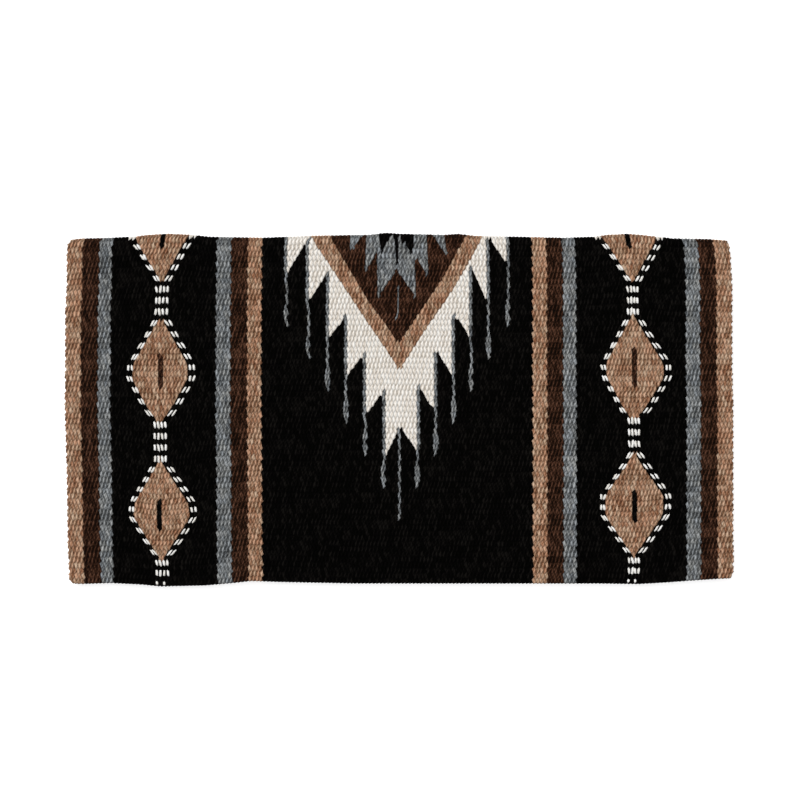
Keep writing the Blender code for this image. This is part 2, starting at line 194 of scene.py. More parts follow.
def spun_wool(name, dark, middle, light, crease_shade=0.30, fuzz=0.3, drift=0.6, shine=0.12, other=None):
    """Handspun wool weft. To the eye: matt beads with a soft fuzz and painted shade in the creases between
    them, streaked along the fibres and never twice the same shade. Some yarns lean to another hue."""
    material = bpy.data.materials.new(name)
    material.use_nodes = True
    tree = material.node_tree
    shader = tree.nodes["Principled BSDF"]
    place = node(tree, "TexCoord").outputs["Object"]
    yarn = node(tree, "UVMap", uv_map="yarn").outputs["UV"]
    strand = node(tree, "Attribute", attribute_name="strand")
    crown = node(tree, "Attribute", attribute_name="crown").outputs["Fac"]
    # The fleece changes slowly along a yarn and quickly from one yarn to the next: 8 mm by 45 mm.
    along = node(tree, "Mapping", {"Vector": place, "Scale": (125.0, 22.0, 60.0)}).outputs["Vector"]
    fleece = node(tree, "TexNoise", {"Vector": along, "Scale": 1.0, "Detail": 2.0, "Roughness": 0.6})
    # Both plies of the yarn, 3.5 mm apart, and its fibres lean a little more than their bead does.
    lean = node(tree, "Mapping", {"Vector": yarn, "Rotation": (0, 0, -0.20)}).outputs["Vector"]
    plies = node(tree, "TexWave", {"Vector": lean, "Scale": 0.42, "Distortion": 1.0, "Detail Scale": 2.0})
    fine = node(tree, "Mapping", {"Vector": lean, "Scale": (9.0, 4.2, 1.0)}).outputs["Vector"]
    fibres = node(tree, "TexNoise", {"Vector": fine, "Scale": 1.0, "Detail": 3.0})
    # The plies' share is painted shade: it darkens the grooves between the plies, where the bump sinks too.
    # The strand, fleece and fibres are the wool's own tone.
    # All four sources lie round 0.5, and together they are set to give the middle colour there.
    sources = ((strand, 0.9 * drift), (fleece, 0.35 * drift), (fibres, 0.95), (plies, 0.30))
    shade = 0.5 - sum(share for _, share in sources) / 2
    for source, share in sources:
        part = node(tree, "Math", {0: source.outputs["Fac"], 1: share, 2: shade}, operation="MULTIPLY_ADD")
        shade = part.outputs[0]
    ramp = node(tree, "ValToRGB", {"Fac": shade})
    ramp.color_ramp.elements[0].position = 0.22
    ramp.color_ramp.elements[0].color = (*linear(dark), 1)
    ramp.color_ramp.elements[1].position = 0.78
    ramp.color_ramp.elements[1].color = (*linear(light), 1)
    ramp.color_ramp.elements.new(0.5).color = (*linear(middle), 1)
    dyed = ramp.outputs["Color"]
    if other:
        # The fraction of a multiple of the strand's number serves as a second number.
        multiple = node(tree, "Math", {0: strand.outputs["Fac"], 1: 7.3}, operation="MULTIPLY").outputs[0]
        share = node(tree, "Math", {0: multiple}, operation="FRACT").outputs[0]
        tint = {"Factor": share, "A": dyed, "B": (*linear(other), 1)}
        dyed = node(tree, "Mix", tint, data_type="RGBA", blend_type="MULTIPLY").outputs["Result"]
    # Painted shade: the colour darkens towards the creases between the beads, as the crown attribute falls
    # from 1 on a crown to 0 in a crease.
    depth = node(tree, "MapRange", {"Value": crown, "To Min": crease_shade, "To Max": 1.0}).outputs["Result"]
    lit = node(tree, "Mix", {"Factor": 1.0, "A": dyed, "B": depth}, data_type="RGBA", blend_type="MULTIPLY")
    tree.links.new(lit.outputs["Result"], shader.inputs["Base Color"])
    rough = node(tree, "MapRange", {"Value": fibres.outputs["Fac"], "To Min": 0.78, "To Max": 0.98})
    tree.links.new(rough.outputs["Result"], shader.inputs["Roughness"])
    heights = {0: plies.outputs["Fac"], 1: 0.8, 2: fibres.outputs["Fac"]}
    relief = node(tree, "Math", heights, operation="MULTIPLY_ADD").outputs[0]
    bump = node(tree, "Bump", {"Height": relief, "Strength": 0.55, "Distance": 0.0005})
    tree.links.new(bump.outputs["Normal"], shader.inputs["Normal"])
    shader.inputs["Specular IOR Level"].default_value = shine
    shader.inputs["Sheen Weight"].default_value = fuzz
    shader.inputs["Sheen Roughness"].default_value = 0.5
    shader.inputs["Sheen Tint"].default_value = (*linear(light), 1)
    return material


def make_patch(patch, wool, solid=False):
    """The patch on both flaps: it rides on its flap and stands for its solid, where it has one. A sheet
    with other pieces in it has the area of its own beads. The meshes are woven at the end, when every
    border is known."""
    made = []
    for flap in ("back", "front"):
        piece = bpy.data.objects.new(f"{flap}_{patch}_weft", bpy.data.meshes.new(f"{flap}_{patch}_weft"))
        bpy.context.collection.objects.link(piece)
        piece.data.materials.append(wool)
        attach(piece, f"{flap}_flap")
        if solid:
            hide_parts(f"{flap}_{patch}")
        made.append(piece)
    woven.append((patch, made))


grey_wool = spun_wool(
    "carded_grey_wool_weft", "393a3b", "7b7d7c", "bcbdbb", crease_shade=0.3, drift=0.4, other="f0f6ff"
)
black_wool = spun_wool("black_wool_weft", "010100", "040303", "161412", crease_shade=0.25, fuzz=0.0, shine=0.02)

# The slit in the star's middle, thinner from rib to rib, and the black points on both sides of it.
for rib in range(1, 6):
    lay_strand("star_black", rib, -0.0046 + 0.0003 * rib, 0.0052 - 0.0006 * rib, follow=1.0)
for points in (
    [(-27.4, -1), (-27.4, 0.3), (-23.4, 3.3), (-9.2, 0.0), (-9.2, -1)],
    [(-9.2, -1), (-9.2, 0.0), (-1.5, 0.4), (15.6, 3.3), (18.6, 1.8), (18.6, -1)],
):
    lay_outline("star_black", points, upright=0.8)
STAR = [(-43.2, -1), (-45.4, 6.7), (-29.9, 3.4), (-28.7, 11.5), (-3.9, 6.6), (21.2, 11.4), (18.7, 3.6)]
STAR += [(37.2, 7.7), (35.1, -1)]
lay_outline("grey_star", STAR, upright=0.8)
for side, points in (
    ("left", [(-63.8, -1), (-65.2, 3.0), (-47.6, 0.0), (-47.6, -1)]),
    ("right", [(42.7, -1), (42.7, 0.0), (62.3, 4.0), (57.5, -1)]),
):
    lay_outline(f"grey_triangle_{side}", points, upright=0.9)
    make_patch(f"grey_triangle_{side}", grey_wool)
make_patch("star_black", black_wool)
make_patch("grey_star", grey_wool, solid=True)


# The brown heart inside the chevron: undyed dark brown wool, with one thin grey weft down its middle.

brown_wool = spun_wool(
    "dark_brown_wool_weft", "0b0401", "2e190d", "694736", crease_shade=0.26, fuzz=0.05, drift=0.4, shine=0.05
)
for rib in range(10, 16):
    lay_strand("grey_line", rib, -0.0020 if rib < 15 else -0.0034, width=0.0019, follow=1.0)
make_patch("grey_line", grey_wool)
HEART = [(-93.6, -1), (-91.2, 0), (-42.4, 11.7), (-1.5, 19.9), (51.4, 8.8), (88.0, 0), (90.3, -1)]
lay_outline("brown_heart", HEART)
make_patch("brown_heart", brown_wool, solid=True)


# The tan chevron: a V of camel-coloured wool, whose reddish and yellowish yarns alternate.

tan_wool = spun_wool(
    "camel_tan_wool_weft", "6f4b31", "b08e72", "dfc3a8", crease_shade=0.34, drift=0.5, other="ffe6dc"
)
CHEVRON = [(-121.2, -1), (-116.4, 0), (-0.2, 24.8), (31.9, 17.7), (74.8, 8.8), (109.1, 0), (113.4, -1)]
lay_outline("tan_chevron", CHEVRON)
make_patch("tan_chevron", tan_wool, solid=True)


# The grey drips: one weft of grey wool down the outer edge of each white finger and past its tip, where
# the weaver carried it on into the black. It is two wefts wide near its end. One more drip hangs alone
# under the middle.

FINGERS = {
    "left": [-146.3, -118.3, -91.7, -67.9, -43.5, -18.6],
    "right": [139.3, 112.9, 90.3, 67.3, 44.6, 21.8],
}
NOTCH_RIBS = {"left": [-1.0, 0.3, 6.2, 14.4, 21.1, 28.1], "right": [-1.0, 0.1, 5.9, 14.2, 21.1, 27.4]}
TIP_RIBS = {"left": [6.6, 12.0, 18.6, 25.6, 33.0, 40.6], "right": [5.0, 12.0, 18.6, 25.6, 32.8, 39.6]}
DRIP_ENDS = [17, 23, 29, 35, 41, 47]
DRIP_SHIFTS = {"left": [1.6, 2.0, 0.3, 0.3, 0.8, -0.6], "right": [-0.7, 0.2, 0.3, 0.6, 0.0, -1.3]}
DRIP_ASIDE = 0.0021
BESIDE_FINGER = {"width": 0.0040, "follow": 0.75}
PAST_TIP = {"width": 0.0031, "follow": 0.5}
NEAR_END = {"width": 0.0031, "follow": 0.8}
END_SPREAD = BEAD * 0.36
for side, way in (("left", -1), ("right", 1)):
    for k, end in enumerate(DRIP_ENDS):
        drip = f"drip_{side}_{k + 1}"
        edge = FINGERS[side][k] / 1000
        tip = TIP_RIBS[side][k]
        for rib in range(max(0, math.ceil(NOTCH_RIBS[side][k])), end):
            past_tip = min(1, max(0, rib - tip) / 2)
            middle = edge + way * DRIP_ASIDE + DRIP_SHIFTS[side][k] / 1000 * past_tip
            if end - 5 < rib < end - 1:
                lay_strand(drip, rib, middle - END_SPREAD, **NEAR_END)
                lay_strand(drip, rib, middle + END_SPREAD, **NEAR_END)
            else:
                lay_strand(drip, rib, middle, **(BESIDE_FINGER if rib < tip else PAST_TIP))
        make_patch(drip, grey_wool)
for rib in range(36, 53):
    lay_strand("drip_middle", rib, -0.0002, width=0.0029, follow=0.55)
make_patch("drip_middle", grey_wool)


# The white serrate: the stepped figure round the chevron, six fingers on each side. Its weft is natural
# white wool, whose beads lean less than the others. A notch between two fingers is 4 mm wide at its top,
# beside the grey drip.

white_wool = spun_wool("natural_white_wool_weft", "d2c7b8", "fef6ec", "fffefa", crease_shade=0.53, drift=0.3)
corners = {}
for side, way, drop in (("left", -4.0, 0.9), ("right", 4.0, 0.2)):
    corners[side] = []
    for finger, notch, tip in zip(FINGERS[side], NOTCH_RIBS[side], TIP_RIBS[side]):
        corners[side] += [(finger + way, notch + drop), (finger, notch), (finger, tip)]
serrate = corners["left"] + [(-1.9, 35.8), (2.1, 35.6)] + corners["right"][::-1]
lay_outline("white_serrate", serrate, upright=0.4)
make_patch("white_serrate", white_wool, solid=True)


# The diamonds of the two side chains: tan wool like the chevron's. The fold cuts the first one in half.
# A black weft splits the first and the last, and a dark brown one the second. By ribs, a chain's middle is
# given in metres and half its width in millimetres.


def read_off(at, points):
    """The value of a line through points, at one place or at many."""
    return np.interp(at, [p for p, _ in points], [q for _, q in points])


CHAINS = {
    "left": {
        "middle": [(0, -0.3106), (10, -0.3092), (16, -0.3098), (30, -0.3105), (40, -0.3113)]
        + [(50, -0.3098), (64, -0.3112)],
        "width": [(0, 35.6), (8.9, 0), (14.8, 0), (23.4, 35.6), (26.0, 35.6), (30.6, 18.0), (34.0, 0)]
        + [(39.9, 0), (48.6, 34.5), (51.4, 37.0), (59.6, 0)],
    },
    "right": {
        "middle": [(0, 0.3012), (16, 0.3032), (26, 0.3062), (33, 0.3034), (48, 0.3042), (64, 0.3028)],
        "width": [(0, 37.0), (8.9, 0), (14.4, 0), (23.4, 38.0), (25.8, 37.0), (31.5, 14.5), (34.3, 0)]
        + [(39.4, 0), (47.8, 37.8), (51.5, 37.4), (59.3, 0)],
    },
}
SLITS = {
    "left": [("black", 0, 3, -0.3092), ("brown", 22, 28, -0.3094), ("black", 48, 54, -0.3127)],
    "right": [("black", 0, 3, 0.2992), ("brown", 21, 28, 0.3052), ("black", 47, 53, 0.3045)],
}
DIAMONDS = {"spine_diamond": (0, 12), "upper_diamond": (12, 37), "lower_diamond": (37, 62)}
chain_gaps = {}
for side, chain in CHAINS.items():
    for k, (colour, first, last, place) in enumerate(SLITS[side]):
        slit = f"{colour}_slit_{side}_{k + 1}"
        for rib in range(first, last):
            lay_strand(slit, rib, place, width=0.0062, follow=0.95)
        make_patch(slit, black_wool if colour == "black" else brown_wool)
    for name, (start, end) in DIAMONDS.items():
        patch = f"{name}_{side}"
        for rib in range(start, end):
            middle = read_off(rib, chain["middle"])
            reach = read_off(rib, chain["width"]) / 1000
            ends = [nearest_gap(place, rib) for place in (middle - reach, middle + reach)]
            if reach == 0 or ends[0][0] >= ends[1][0]:
                ends = [nearest_gap(middle, rib)] * 2
            chain_gaps[side, rib] = ends
            lay(patch, rib, middle - reach, middle + reach, smooth=(1.0, 1.0))
        make_patch(patch, tan_wool, solid=True)


# The dotted outline of each chain: a band of black wefts on both sides of the tan, and bleached white
# wefts that show there as two slanted strokes on every other rib. At the necks four strokes stand upright.
# Their offsets and spacing are in metres, and how tall they are is a share of a whole stroke.

dot_wool = spun_wool("bleached_white_wool_weft", "d8d3c8", "fbf9f4", "ffffff", crease_shade=0.55, drift=0.3)
STROKE_LEFT = (-0.0013, -0.0050)
STROKE_RIGHT = (0.0034, 0.0083)
NECKS = {"left": (0.0008, 0.0047), "right": (0.0002, 0.0042)}
NECK_REACH = 0.002
NECK_STROKES = (1.1, 1.3, 1.1, 1.1)
SELVAGE_STROKES = (0.6, 0.0, 0.6)
strokes = {}
for side, chain in CHAINS.items():
    patch = f"diamond_outline_{side}"
    for rib in range(RIBS):
        if (side, rib) in chain_gaps:
            (left, left_off), (right, right_off) = chain_gaps[side, rib]
        else:
            (left, left_off), (right, right_off) = [nearest_gap(read_off(rib, chain["middle"]), rib)] * 2
        for gap in (left - 4, left - 2, right, right + 2):
            if (rib, gap) not in taken:
                taken[rib, gap] = patch
        drawn_aside.setdefault((rib, left), left_off)
        drawn_aside.setdefault((rib, right), right_off)
    make_patch(patch, black_wool, solid=True)

    strokes[side] = []
    for rib in range(2, RIBS + 2, 2):
        rows = (rib - 0.5, rib, rib + 0.5)
        middles = [read_off(row, chain["middle"]) for row in rows]
        reaches = [read_off(row, chain["width"]) / 1000 for row in rows]
        if reaches[1] > NECK_REACH:
            for way, offsets in ((-1, STROKE_LEFT), (1, STROKE_RIGHT)):
                edges = [middle + way * reach for middle, reach in zip(middles, reaches)]
                for offset in offsets:
                    strokes[side].append((rib, edges[1] + offset, edges[2] - edges[0], 1.0))
        else:
            shift, pitch = NECKS[side]
            for k, tall in enumerate(NECK_STROKES if rib < RIBS else SELVAGE_STROKES):
                if tall:
                    place = middles[1] + shift + (k - 1.5) * pitch
                    strokes[side].append((min(rib, RIBS - 0.1), place, 0.0, tall))


# The stripes along each side edge and beside the centre field: tan, dark brown and carded grey, each
# about four beads wide. Their borders are dovetailed, so each bead steps half a bead past the last one, and
# the stripe's cloth is a little wider than the stripe.

STRIPES = {
    "left": {"outer": (-432, -412.3, -390.4, -374.3), "inner": (-179.3, -197.3, -218.9, -238.0)},
    "right": {"outer": (432, 411.7, 390.5, 372.5), "inner": (173.0, 192.1, 212.0, 229.6)},
}
PAST_EDGE = 0.44
for side, bands in STRIPES.items():
    for group, edges in bands.items():
        for k, (name, wool) in enumerate((("tan", tan_wool), ("brown", brown_wool), ("grey", grey_wool))):
            low, high = sorted((edges[k] / 1000, edges[k + 1] / 1000))
            if low == -BLANKET_WIDTH / 2:
                low = -PAST_EDGE
            if high == BLANKET_WIDTH / 2:
                high = PAST_EDGE
            patch = f"{group}_{name}_{side}"
            for rib in range(RIBS + 1):
                lay(patch, rib, low, high, smooth=(0.45, 0.45))
            make_patch(patch, wool, solid=True)


# The three black fields: near-black wool, one behind each chain and one behind the serrate figure. They
# fill all that the other patches leave.

for side, bands in STRIPES.items():
    edges = sorted((bands["outer"][3] / 1000, bands["inner"][3] / 1000))
    for rib in range(RIBS + 1):
        lay(f"side_field_{side}", rib, edges[0], edges[1])
    inside = [f"{name}_{side}" for name in ("diamond_outline", *DIAMONDS)]
    inside += [f"{colour}_slit_{side}_{k + 1}" for k, (colour, *_) in enumerate(SLITS[side])]
    make_patch(f"side_field_{side}", black_wool, True)
for rib in range(RIBS + 1):
    lay("centre_field", rib, STRIPES["left"]["inner"][0] / 1000, STRIPES["right"]["inner"][0] / 1000)
inside = [f"drip_{side}_{k}" for side in ("left", "right") for k in range(1, 7)]
inside += ["drip_middle", "grey_star", "grey_triangle_left", "grey_triangle_right", "star_black"]
inside += ["grey_line", "brown_heart", "tan_chevron", "white_serrate"]
make_patch("centre_field", black_wool, True)


# The weaving: the beads of both flaps, drawn together once all patches are laid, because neighbours share
# their borders. A bead is a pointed lens of wool that reaches past its rib on both sides, and the cloth has
# the same beads on its other face.

# How far a bead's tip reaches past its rib, in ribs, the share of that at the selvage, and how far the
# bead leans aside, in half beads.
TIP = 0.32
SELVAGE_TIP = 0.25
LEAN = 0.47
WHITE_LEAN_LESS = 0.25
# Heights over the middle of the cloth, and how far the turns of weft reach past its sides, in metres.
RIM_HEIGHT = 0.00235
SIDE_HEIGHT = 0.0026
CROWN_HEIGHT = 0.0035
EDGE_HEIGHT = 0.0007
EDGE_REACH = 0.0006
# Weaving by hand is never quite even: the spread of the beads' places, leans and heights.
UNEVEN_PLACE = 0.00010
UNEVEN_LEAN = 0.08
UNEVEN_HEIGHT = 0.00012
GAPS = HALF_BEADS + 3
chance = np.random.default_rng(21)
missing = {(rib, gap) for rib in range(RIBS + 1) for gap in range(-(rib % 2), HALF_BEADS, 2)} - taken.keys()
assert not missing, missing

across = np.empty((RIBS + 2, GAPS))
gaps_all = np.arange(-1, HALF_BEADS + 2)
for rib in range(RIBS + 1):
    pins = sorted((gap, off) for (r, gap), off in drawn_aside.items() if r == rib and 0 < gap < HALF_BEADS)
    offs = read_off(gaps_all, [(0, 0), *pins, (HALF_BEADS, 0)])
    across[rib] = -BLANKET_WIDTH / 2 + (gaps_all + offs) * HALF_BEAD
across[RIBS + 1] = across[RIBS]
across[:, 0] = across[:, 1] - EDGE_REACH
across[:, -1] = across[:, -2] + EDGE_REACH
across[:, 1:-1] += chance.normal(0, UNEVEN_PLACE, across[:, 1:-1].shape)

lean_of = np.full((RIBS + 2, GAPS), LEAN) + chance.normal(0, UNEVEN_LEAN, (RIBS + 2, GAPS))
for (rib, gap), patch in taken.items():
    if patch == "white_serrate":
        lean_of[rib, gap + 1] -= WHITE_LEAN_LESS
lean_of *= HALF_BEAD

# Border points between ribs: row 0 lies between rib -1 and rib 0, row j between rib j - 1 and rib j.
border_rows = np.arange(RIBS + 2)
upper_rib = np.abs(border_rows - 1)
lower_rib = np.minimum(border_rows, RIBS)
belongs_below = (gaps_all + border_rows[:, None]) % 2 == 1
steps = np.where(belongs_below, -TIP, TIP)
steps[-1] *= SELVAGE_TIP
border_along = (border_rows[:, None] - 0.5 + steps) * RIB_PITCH
owner_gap = np.clip(np.arange(GAPS) - 1, 0, GAPS - 1)
own_lean = np.where(belongs_below, lean_of[lower_rib][:, owner_gap], -lean_of[upper_rib][:, owner_gap])
border_across = (across[upper_rib] + across[lower_rib]) / 2 + own_lean
# Where two patches meet on one rib and again on the next, their border between the ribs is drawn nearly
# straight: by the share SLANTED where it slants, and by one of those in UPRIGHT where it is upright.
SLANTED = 0.7
UPRIGHT = {
    "star_black": 0.8,
    "grey_star": 0.8,
    "grey_triangle": 0.9,
    "grey_line": 0.9,
    "slit": 0.8,
    "drip": 0.5,
    "diamond": 0.8,
    "white_serrate": 0.4,
    "tan": 0.35,
    "brown": 0.35,
    "grey": 0.35,
}
# In half beads: how far a border may step from one rib to the next, and a patch's point from another.
FARTHEST_STEP = 5
FARTHEST_POINT = 3


def cuts(rib):
    """The gaps of a rib where one patch ends and the next begins, by the names of both."""
    found = {}
    for gap in range(2 - rib % 2, HALF_BEADS, 2):
        both = (taken[rib, gap - 2], taken[rib, gap])
        if both[0] != both[1]:
            found.setdefault(both, []).append(gap)
    return found


def straighten(rib, one, other, strength):
    """Draws the border between a gap on this rib and another on the next towards a straight line."""
    step = 1 if other > one else -1
    between = range(one, other + step, step)
    for k, gap in enumerate(between):
        share = (k + 1) / (len(between) + 1)
        place = (1 - share) * across[rib, one + 1] + share * across[rib + 1, other + 1]
        border_across[rib + 1, gap + 1] += strength * (place - border_across[rib + 1, gap + 1])
        place = (rib + share) * RIB_PITCH
        border_along[rib + 1, gap + 1] += strength * (place - border_along[rib + 1, gap + 1])


def alike(both, gap, found):
    """The gap on the next rib where one patch of this border ends against a third one, at a point."""
    near = [
        other
        for pair, gaps in found.items()
        for other in gaps
        if (pair[0] == both[0]) != (pair[1] == both[1]) and abs(other - gap) <= FARTHEST_POINT
    ]
    return min(near, key=lambda other: abs(other - gap)) if near else None


for rib in range(RIBS):
    here, below = cuts(rib), cuts(rib + 1)
    for both in sorted(set(here) | set(below)):
        straightness = max([UPRIGHT[word] for word in UPRIGHT if any(word in name for name in both)] + [0])
        linked = []
        for one in here.get(both, []):
            other = min(below.get(both, [999]), key=lambda gap: abs(gap - one))
            back = min(here[both], key=lambda gap: abs(gap - other))
            if back == one and abs(other - one) <= FARTHEST_STEP:
                straighten(rib, one, other, SLANTED if abs(other - one) > 1 else straightness)
                linked += [("here", one), ("below", other)]
        if "white_serrate" in both:
            for one in here.get(both, []):
                other = alike(both, one, below)
                if ("here", one) not in linked and other is not None:
                    straighten(rib, one, other, SLANTED)
            for other in below.get(both, []):
                one = alike(both, other, here)
                if ("below", other) not in linked and one is not None:
                    straighten(rib, one, other, SLANTED)
border_height = RIM_HEIGHT + chance.normal(0, UNEVEN_HEIGHT, border_along.shape)
border_height[-1] = EDGE_HEIGHT
side_height = np.full((RIBS + 2, GAPS), SIDE_HEIGHT)
for heights in (border_height, side_height):
    heights[:, :2] = EDGE_HEIGHT
    heights[:, -2:] = EDGE_HEIGHT
side_along = border_rows[:, None] * RIB_PITCH + np.zeros((1, GAPS))
rim_across = np.concatenate([border_across.ravel(), across.ravel()])
rim_along = np.concatenate([border_along.ravel(), side_along.ravel()])
rim_height = np.concatenate([border_height.ravel(), side_height.ravel()])
SIDES_START = border_across.size

# One bead's points: 0-7 round its rim from the top left, then three rows of three on its crown.
BEAD_QUADS = np.array(
    [
        (8, 9, 1, 0),
        (9, 10, 2, 1),
        (11, 12, 9, 8),
        (12, 13, 10, 9),
        (14, 15, 12, 11),
        (15, 16, 13, 12),
        (6, 5, 15, 14),
        (5, 4, 16, 15),
        (7, 11, 8, 0),
        (6, 14, 11, 7),
        (13, 3, 2, 10),
        (16, 4, 3, 13),
    ]
)
RIM_LOOP = (6, 5, 4, 3, 2, 1, 0, 7)
# How far each crown point is spared the painted crease shade: wholly at its middle, less towards its rim.
CROWN_UNSHADED = [0.7, 0.9, 0.7, 0.85, 1.0, 0.85, 0.7, 0.9, 0.7]
POINT_U = np.array([0, 0.5, 1, 1, 1, 0.5, 0, 0] + [0.2, 0.5, 0.8] * 3)
POINT_V = np.array([-0.8, -1, -0.8, 0, 0.8, 1, 0.8, 0] + [-0.5] * 3 + [0] * 3 + [0.5] * 3)


def rim_points(beads):
    """The numbers of the eight points round each bead's rim, among all points of the cloth."""
    rib, gap = beads[:, 0], beads[:, 1] + 1
    top = rib * GAPS + gap
    bottom = (rib + 1) * GAPS + gap
    side = SIDES_START + rib * GAPS + gap
    return np.stack([top, top + 1, top + 2, side + 2, bottom + 2, bottom + 1, bottom, side], axis=1)


# A bead's tone is partly its own and partly its yarn's, which keeps it for five ribs.
yarn_tone = chance.random((RIBS + 2, GAPS)) * 0.70
for rib in range(0, RIBS + 2, 5):
    yarn_tone[rib : rib + 5] += chance.random((1, GAPS)) * 0.30
crown_scale = chance.normal(1, 0.05, (RIBS + 2, GAPS)).clip(0.88, 1.0)
# How far out from a bead's middle its crown's outer points lie, as a share of half its width.
CROWN_SPREAD = 0.56


def crown_points(beads):
    """The nine points on each bead's crown: across, along and height above the middle of the cloth."""
    rib, gap = beads[:, 0], beads[:, 1] + 1
    keys = rim_points(beads)
    flat = np.stack([rim_across[keys], rim_along[keys]], axis=2)
    centre = (flat[:, 3] + flat[:, 7]) / 2
    middle_row = [centre + CROWN_SPREAD * (side - centre) for side in (flat[:, 7], centre, flat[:, 3])]
    rows = []
    for trio in ((0, 1, 2), (6, 5, 4)):
        tip = flat[:, trio[1]]
        ends = [tip + CROWN_SPREAD * (flat[:, point] - tip) for point in trio]
        rows.append([(inner + end) / 2 for inner, end in zip(middle_row, ends)])
    points = np.stack(rows[0] + middle_row + rows[1], axis=1)
    t = np.array([-0.5] * 3 + [0] * 3 + [0.5] * 3)[None, :]
    u = np.array([-CROWN_SPREAD, 0, CROWN_SPREAD] * 3)[None, :]
    points[:, :, 0] -= lean_of[rib, gap][:, None] * t * 0.5
    rise = (CROWN_HEIGHT * crown_scale[rib, gap] - RIM_HEIGHT)[:, None]
    h = RIM_HEIGHT + rise * np.sqrt(1 - u**2) * (1 - t**2) ** 0.5
    return points[:, :, 0].ravel(), points[:, :, 1].ravel(), h.ravel()


# How the blanket lies in the photo, in millimetres: its fold and its selvage are a little wavy, its ends
# draw in, and the ribs sag at the chains, whose wefts are packed less tightly.
FOLD_WAVE = [(-432, -4.2), (-420, -2.4), (-380, -1.3), (-350, 0), (-330, 2.6), (-303, 3.9), (-273, 2.6)]
FOLD_WAVE += [(-250, 0), (-180, -1.3), (-117, 1.3), (-39, 2.6), (-19, 5.2), (0, 3.9), (60, 2.6), (78, 3.9)]
FOLD_WAVE += [(98, 1.3), (215, -1.3), (254, 0), (275, 2.6), (302, 3.9), (330, 1.3), (360, -2), (410, -3.2)]
FOLD_WAVE += [(432, -5.0)]
SELVAGE_WAVE = [(-432, 4.8), (-415, 3.9), (-380, 5.2), (-340, 3.3), (-312, 0.7), (-254, 2.0), (-215, 5.5)]
SELVAGE_WAVE += [(-195, 7.8), (-156, 6.5), (-60, 4.6), (60, 4.6), (254, 4.6), (312, 3.9), (350, 6.2)]
SELVAGE_WAVE += [(380, 8.5), (415, 10.8), (432, 11.4)]
LEFT_WAVE = [(0, 3.4), (7, 0.2), (16, -1.3), (60, -1.3), (95, -3.3), (170, -3.3), (220, -3.9), (310, -1.3)]
LEFT_WAVE += [(405, 0), (440, 1.5), (457, 2.0)]
RIGHT_WAVE = [(0, -7.0), (8, -4.0), (16, -2.6), (60, 0), (175, 0), (220, 1.3), (405, 1.3), (430, 2.0)]
RIGHT_WAVE += [(457, 1.0)]
SIDE_EDGE = 432
LOWER_EDGE = 457
CORNER = 7
CORNER_DEPTHS = {"left": 3.6, "right": 4.0}
SAGS = (
    (-311, 44, [(0, 0), (85, 0), (184, -3.3), (240, -5.2), (297, -7.8), (353, -6.5), (438, 0), (457, 0)]),
    (304, 44, [(0, 0), (85, 0), (184, -3.0), (240, -0.7), (297, -4.7), (353, -3.6), (438, 0), (457, 0)]),
)
# A point of the cloth lies this much farther below the fold's edge than its way round the bend, in metres.
BEND_EXTRA = 0.00136


def settle(x, s):
    """How far the cloth at a place lies aside of where a true rectangle would be, across and towards the
    fold, in metres."""
    mm, down = x * 1000, (s + BEND_EXTRA) * 1000
    share = np.clip(down / LOWER_EDGE, 0, 1)
    rightward = mm / (2 * SIDE_EDGE)
    aside = read_off(down, LEFT_WAVE) * np.clip(0.5 - rightward, 0, 1) ** 3
    aside = aside + read_off(down, RIGHT_WAVE) * np.clip(0.5 + rightward, 0, 1) ** 3
    low = np.clip((down - LOWER_EDGE + CORNER) / CORNER, 0, 1) ** 2
    aside = aside + CORNER_DEPTHS["left"] * low * np.clip((-SIDE_EDGE + CORNER - mm) / CORNER, 0, 1)
    aside = aside - CORNER_DEPTHS["right"] * low * np.clip((mm - SIDE_EDGE + CORNER) / CORNER, 0, 1)
    up = read_off(mm, FOLD_WAVE) * (1 - share) ** 2 + read_off(mm, SELVAGE_WAVE) * share**2
    for middle, spread, points in SAGS:
        up = up + read_off(down, points) * np.exp(-(((mm - middle) / spread) ** 2))
    return aside / 1000, up / 1000


def lie(x, s, h, front, outer):
    """A point of a flap in space, from its place in the cloth. The outer face follows the bend."""
    middle = STACK_HEIGHT / 2
    turn = np.minimum(s, QUARTER_BEND) / BEND_RADIUS
    flat_y = FOLD_LINE - (s - QUARTER_BEND)
    if outer:
        y = np.where(s < QUARTER_BEND, FOLD_LINE + (BEND_RADIUS + h) * np.cos(turn), flat_y)
        z = middle + (BEND_RADIUS + h) * np.sin(turn)
    else:
        y = flat_y
        z = middle + BEND_RADIUS - h
    aside, up = settle(x, s)
    points = np.stack([x + aside, y + up, z], axis=1)
    if not front:
        points[:, 2] = STACK_HEIGHT - points[:, 2]
    return points


def dress(mesh, uv, shown, tone, creased):
    """Gives a mesh its shading and what its wool reads. Uv goes by corner, tone by face and shown by point,
    which sets the painted crease shade: 0 in a crease and 1 on a crown. Edges between two creased points
    stay sharp."""
    mesh.shade_smooth()
    ends = np.empty(2 * len(mesh.edges), dtype=np.int32)
    mesh.edges.foreach_get("vertices", ends)
    sharp = creased[ends.reshape(-1, 2)].all(axis=1)
    mesh.attributes.new("sharp_edge", "BOOLEAN", "EDGE").data.foreach_set("value", sharp)
    mesh.attributes.new("crown", "FLOAT", "POINT").data.foreach_set("value", shown.astype(np.float32))
    mesh.attributes.new("strand", "FLOAT", "FACE").data.foreach_set("value", tone.astype(np.float32))
    mesh.uv_layers.new(name="yarn").data.foreach_set("uv", uv.astype(np.float32).ravel())
    mesh.update()


